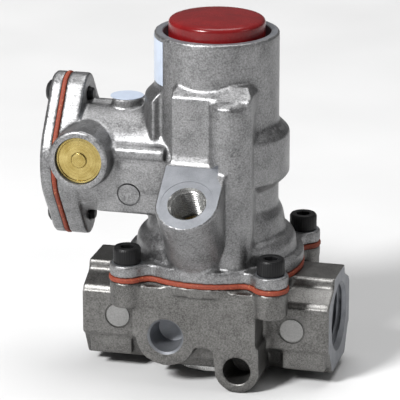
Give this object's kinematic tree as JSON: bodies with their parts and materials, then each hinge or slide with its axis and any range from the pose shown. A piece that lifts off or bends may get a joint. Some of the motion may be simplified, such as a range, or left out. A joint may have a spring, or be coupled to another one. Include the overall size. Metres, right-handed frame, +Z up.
{
  "type": "gas valve",
  "caption": "Safety gas valve: cast body with in-line pipe ports, tower with a spring-return reset button, side arm holding a thermocouple hold magnet, and an inclined pilot outlet.",
  "frame": {"origin": "centre of the inlet port's face, on the pipe axis", "axes": "+X out of the inlet port along the pipe axis, +Z up the tower towards the button, -Y the front with the two tapped holes"},
  "size_m": [0.0931, 0.0689, 0.1116],
  "materials": {
    "body_casting": "grainy grey die casting, slightly warm",
    "bonnet_casting": "satin grey die casting",
    "plug_aluminium": "turned aluminium",
    "brass_part": "machined brass",
    "turned_brass": "bright turned brass",
    "black_rubber": "nitrile rubber",
    "orange_gasket": "fibre gasket, orange red",
    "black_oxide_steel": "black oxide",
    "dark_steel": "phosphated spring steel",
    "steel_part": "turned steel",
    "spring_steel": "drawn wire",
    "magnet_iron": "ground soft iron",
    "copper_winding": "enamelled winding",
    "brown_insulator": "moulded insulator",
    "red_plastic": "dark red moulded plastic",
    "blank_label": "blank pale label"
  },
  "bodies": {
    "housing": {"valve_body": "body_casting", "seat_ring": "brass_part", "bottom_plug": "plug_aluminium", "bottom_plug_oring": "black_rubber", "body_gasket": "orange_gasket", "bonnet": "bonnet_casting", "bonnet_screws": "black_oxide_steel", "button_retaining_ring": "dark_steel", "button_spring": "spring_steel", "stem_bush": "brass_part", "stem_seal": "black_rubber", "closing_spring": "spring_steel", "lever_pivot_pin": "steel_part", "lever_plug": "turned_brass", "lever_plug_oring": "black_rubber", "magnet_core": "magnet_iron", "magnet_coils": "copper_winding", "magnet_housing": "brass_part", "thermocouple_socket": "turned_brass", "contact_insulator": "brown_insulator", "contact_pin": "brass_part", "side_cover": "bonnet_casting", "side_cover_gasket": "orange_gasket", "side_cover_screws": "black_oxide_steel", "pilot_filter": "brass_part", "tower_label": "blank_label", "arm_label": "blank_label"},
    "button": {"reset_button": "red_plastic", "button_stem": "brass_part", "stem_clip": "dark_steel", "interrupter_disc": "steel_part", "interrupter_seal": "black_rubber"},
    "main_valve": {"valve_stem": "steel_part", "main_disc": "steel_part", "main_seal": "black_rubber", "cross_pin": "steel_part"},
    "lever": {"armature_lever": "steel_part", "armature": "magnet_iron"}
  },
  "joints": [
    {"name": "button_slide", "type": "slide", "parent": "housing", "child": "button", "axis": [0, 0, -1], "range_m": [0, 0.005], "stiffness_N_per_m": 1200, "springref_m": -0.004, "deforming": ["button_spring"]},
    {"name": "main_valve_slide", "type": "slide", "parent": "housing", "child": "main_valve", "axis": [0, 0, -1], "range_m": [0, 0.005], "stiffness_N_per_m": 300, "springref_m": -0.003, "deforming": ["closing_spring"]},
    {"name": "lever_pivot", "type": "hinge", "parent": "housing", "child": "lever", "pos_m": [-0.0764, 0, 0.0509], "axis": [0, 1, 0], "range_deg": [0, 7.8]}
  ],
  "couplings": [
    {"joint": "main_valve_slide", "follows": "button_slide", "ratio": 1},
    {"joint": "lever_pivot", "follows": "button_slide", "rad_per_m": 26.8}
  ]
}
